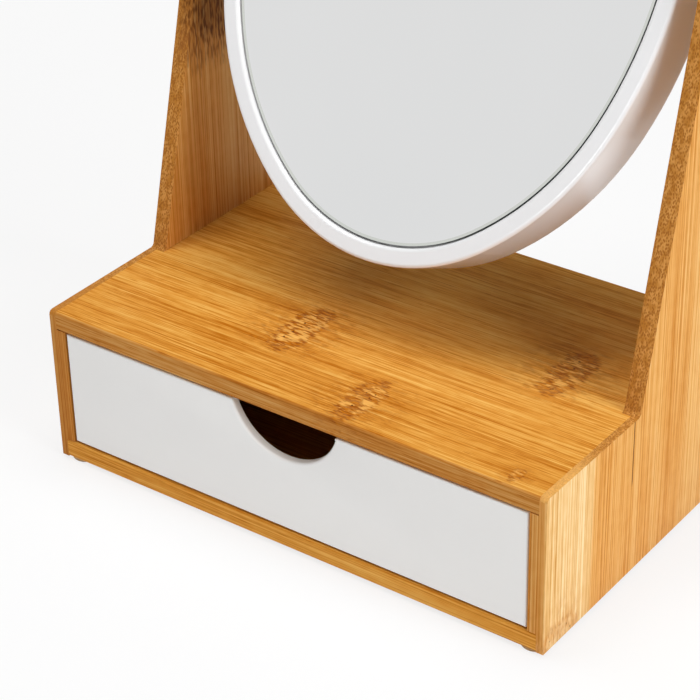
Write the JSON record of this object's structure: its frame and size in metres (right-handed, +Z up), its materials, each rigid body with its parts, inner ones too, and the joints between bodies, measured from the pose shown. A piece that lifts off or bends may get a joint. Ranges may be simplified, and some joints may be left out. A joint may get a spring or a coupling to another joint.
{
  "type": "magnifying mirror",
  "caption": "Oval two-sided table mirror with a plain and a magnifying glass, turning between two leaning bamboo uprights over a low box with a white-fronted drawer",
  "frame": {"origin": "on the table under the middle of the object's bounding box", "axes": "X runs left to right as seen from the drawer, the drawer opens towards -Y, and Z is up from the table"},
  "size_m": [0.238, 0.1876, 0.3407],
  "materials": {
    "bamboo": "satin clear lacquer on glued bamboo strips",
    "bamboo_ply": "sanded bamboo ply",
    "white_lacquer": "smooth white lacquer on board, almost matt",
    "white_gloss": "glossy moulded white plastic",
    "mirror_silver": "silvered glass",
    "foam_tape": "double-sided foam tape",
    "nylon": "natural nylon",
    "steel": "nickel-plated steel",
    "brass": "plain turned brass",
    "pad": "tan self-adhesive pad"
  },
  "bodies": {
    "stand": {"left_side_board": "bamboo", "right_side_board": "bamboo", "top_board": "bamboo", "bottom_board": "bamboo", "back_board": "bamboo", "front_left_foot_pad": "pad", "front_right_foot_pad": "pad", "rear_left_foot_pad": "pad", "rear_right_foot_pad": "pad", "left_pivot_bush": "nylon", "right_pivot_bush": "nylon"},
    "drawer": {"drawer_front": "white_lacquer", "drawer_left_side": "bamboo_ply", "drawer_right_side": "bamboo_ply", "drawer_back": "bamboo_ply", "drawer_bottom": "bamboo_ply", "drawer_corner_pins": "steel"},
    "mirror": {"mirror_frame": "white_gloss", "plain_mirror_glass": "mirror_silver", "plain_glass_tape": "foam_tape", "magnifying_mirror_glass": "mirror_silver", "magnifying_glass_tape": "foam_tape", "left_frame_insert": "brass", "right_frame_insert": "brass", "left_pivot_screw": "steel", "right_pivot_screw": "steel", "left_head_washer": "steel", "right_head_washer": "steel", "left_spring_washer": "steel", "right_spring_washer": "steel", "left_pivot_spacer": "nylon", "right_pivot_spacer": "nylon"}
  },
  "joints": [
    {"name": "mirror_tilt", "type": "hinge", "parent": "stand", "child": "mirror", "pos_m": [0, 0.02668, 0.21634], "axis": [1, 0, 0], "continuous": true},
    {"name": "drawer_slide", "type": "slide", "parent": "stand", "child": "drawer", "axis": [0, -1, 0], "range_m": [0, 0.11]}
  ]
}
